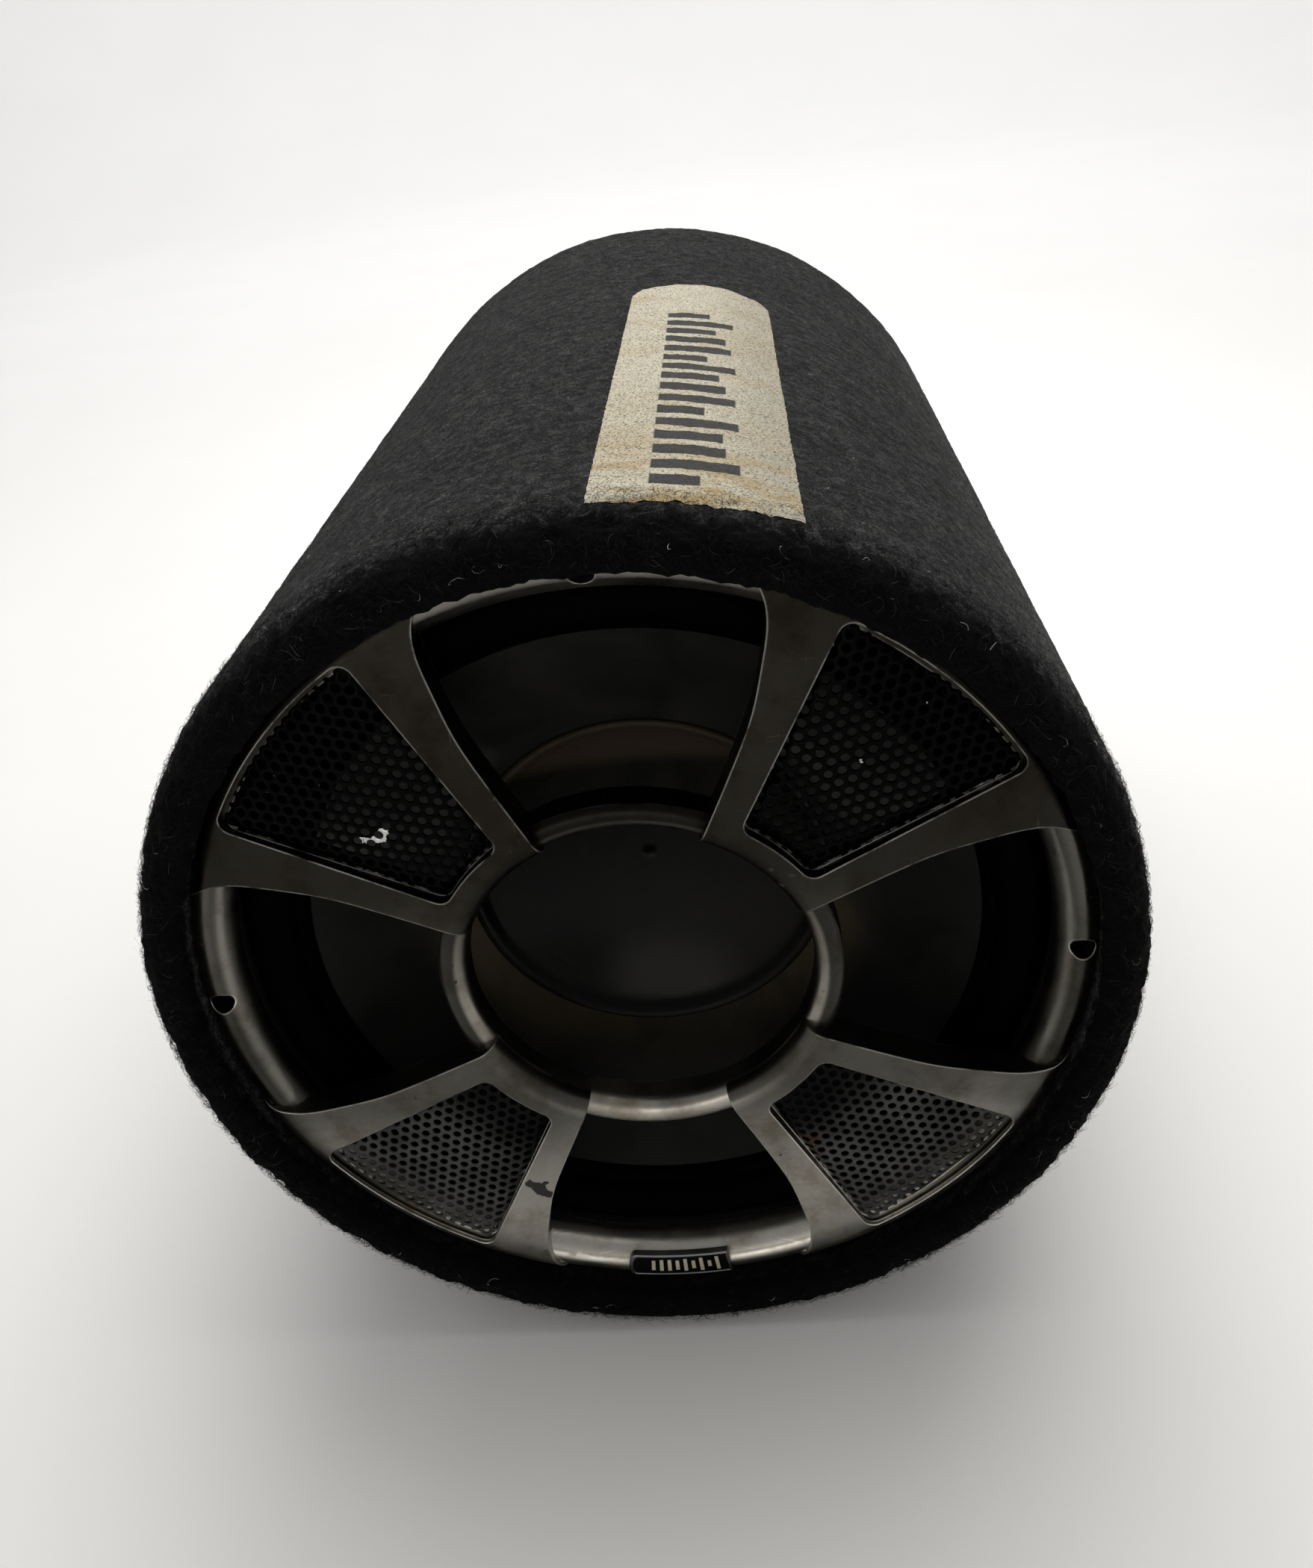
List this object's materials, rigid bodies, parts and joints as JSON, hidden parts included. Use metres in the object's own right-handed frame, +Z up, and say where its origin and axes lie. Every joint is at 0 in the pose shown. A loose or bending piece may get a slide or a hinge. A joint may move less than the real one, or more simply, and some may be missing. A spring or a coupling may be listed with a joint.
{
  "type": "car subwoofer speaker",
  "caption": "Carpeted tubular car bass speaker lying on its side, with a spoked grille, perforated mesh inserts, a moving cone and a vented rear panel.",
  "frame": {"origin": "point of the floor under the middle of the tube, which is the bottom centre of the bounding box", "axes": "+Z up, the tube lies along Y with the grille towards -Y and the vented rear panel towards +Y, +X to the right as seen from the front"},
  "size_m": [0.35, 0.493, 0.3495],
  "materials": {
    "felt_carpet": "needled felt",
    "fibre_tube": "wound board",
    "mdf": "raw",
    "wadding": "fluffy",
    "label_print": "printed, worn",
    "grille_plastic": "satin metallic paint",
    "mesh_steel": "gloss black, chipped",
    "black_screw": "satin",
    "badge_plastic": "gloss with silver rim",
    "gasket_rubber": "matte",
    "basket_steel": "satin",
    "cone_poly": "satin",
    "cap_poly": "gloss",
    "surround_rubber": "matte",
    "spider_cloth": "woven",
    "former_aluminium": "satin",
    "winding_copper": "enamelled",
    "plated_steel": "satin",
    "ferrite": "matte",
    "strip_board": "matte",
    "lead_braid": "braided",
    "port_plastic": "satin",
    "cup_plastic": "satin",
    "contact_brass": "bright",
    "lever_red": "satin",
    "lever_black": "satin",
    "wire_red": "pvc",
    "wire_black": "pvc"
  },
  "bodies": {
    "enclosure": {"enclosure_tube": "fibre_tube", "carpet_wrap": "felt_carpet", "front_baffle": "mdf", "rear_panel": "mdf", "rear_carpet": "felt_carpet", "damping_wadding": "wadding", "carpet_label": "label_print", "grille_base": "grille_plastic", "mesh_frame_upper_right": "grille_plastic", "mesh_insert_upper_right": "mesh_steel", "mesh_frame_upper_left": "grille_plastic", "mesh_insert_upper_left": "mesh_steel", "mesh_frame_lower_left": "grille_plastic", "mesh_insert_lower_left": "mesh_steel", "mesh_frame_lower_right": "grille_plastic", "mesh_insert_lower_right": "mesh_steel", "grille_screws": "black_screw", "badge": "badge_plastic", "front_gasket": "gasket_rubber", "driver_basket": "basket_steel", "driver_screws": "black_screw", "surround": "surround_rubber", "spider": "spider_cloth", "top_plate": "plated_steel", "ring_magnet": "ferrite", "pole_and_back_plate": "plated_steel", "driver_terminal_strip": "strip_board", "tinsel_lead_left": "lead_braid", "tinsel_lead_right": "lead_braid", "port_tube": "port_plastic", "terminal_cup": "cup_plastic", "cup_contact_left": "contact_brass", "cup_contact_right": "contact_brass", "cup_screws": "black_screw", "lever_pin": "plated_steel", "internal_wire_left": "wire_black", "internal_wire_right": "wire_red"},
    "cone_assembly": {"cone": "cone_poly", "dust_cap": "cap_poly", "voice_coil_former": "former_aluminium", "voice_coil_winding": "winding_copper"},
    "lever_left": {"push_lever_left": "lever_black"},
    "lever_right": {"push_lever_right": "lever_red"}
  },
  "joints": [
    {"name": "cone_travel", "type": "slide", "parent": "enclosure", "child": "cone_assembly", "axis": [0, -1, 0], "range_m": [-0.01, 0.01], "stiffness_N_per_m": 4000, "deforming": ["surround", "spider", "tinsel_lead_left", "tinsel_lead_right"]},
    {"name": "lever_left_press", "type": "hinge", "parent": "enclosure", "child": "lever_left", "pos_m": [-0.013, 0.2315, 0.0842], "axis": [1, 0, 0], "range_deg": [0, 25], "stiffness_Nm_per_rad": 0.15, "springref_deg": -14.32},
    {"name": "lever_right_press", "type": "hinge", "parent": "enclosure", "child": "lever_right", "pos_m": [0.013, 0.2315, 0.0842], "axis": [1, 0, 0], "range_deg": [0, 25], "stiffness_Nm_per_rad": 0.15, "springref_deg": -14.32}
  ]
}
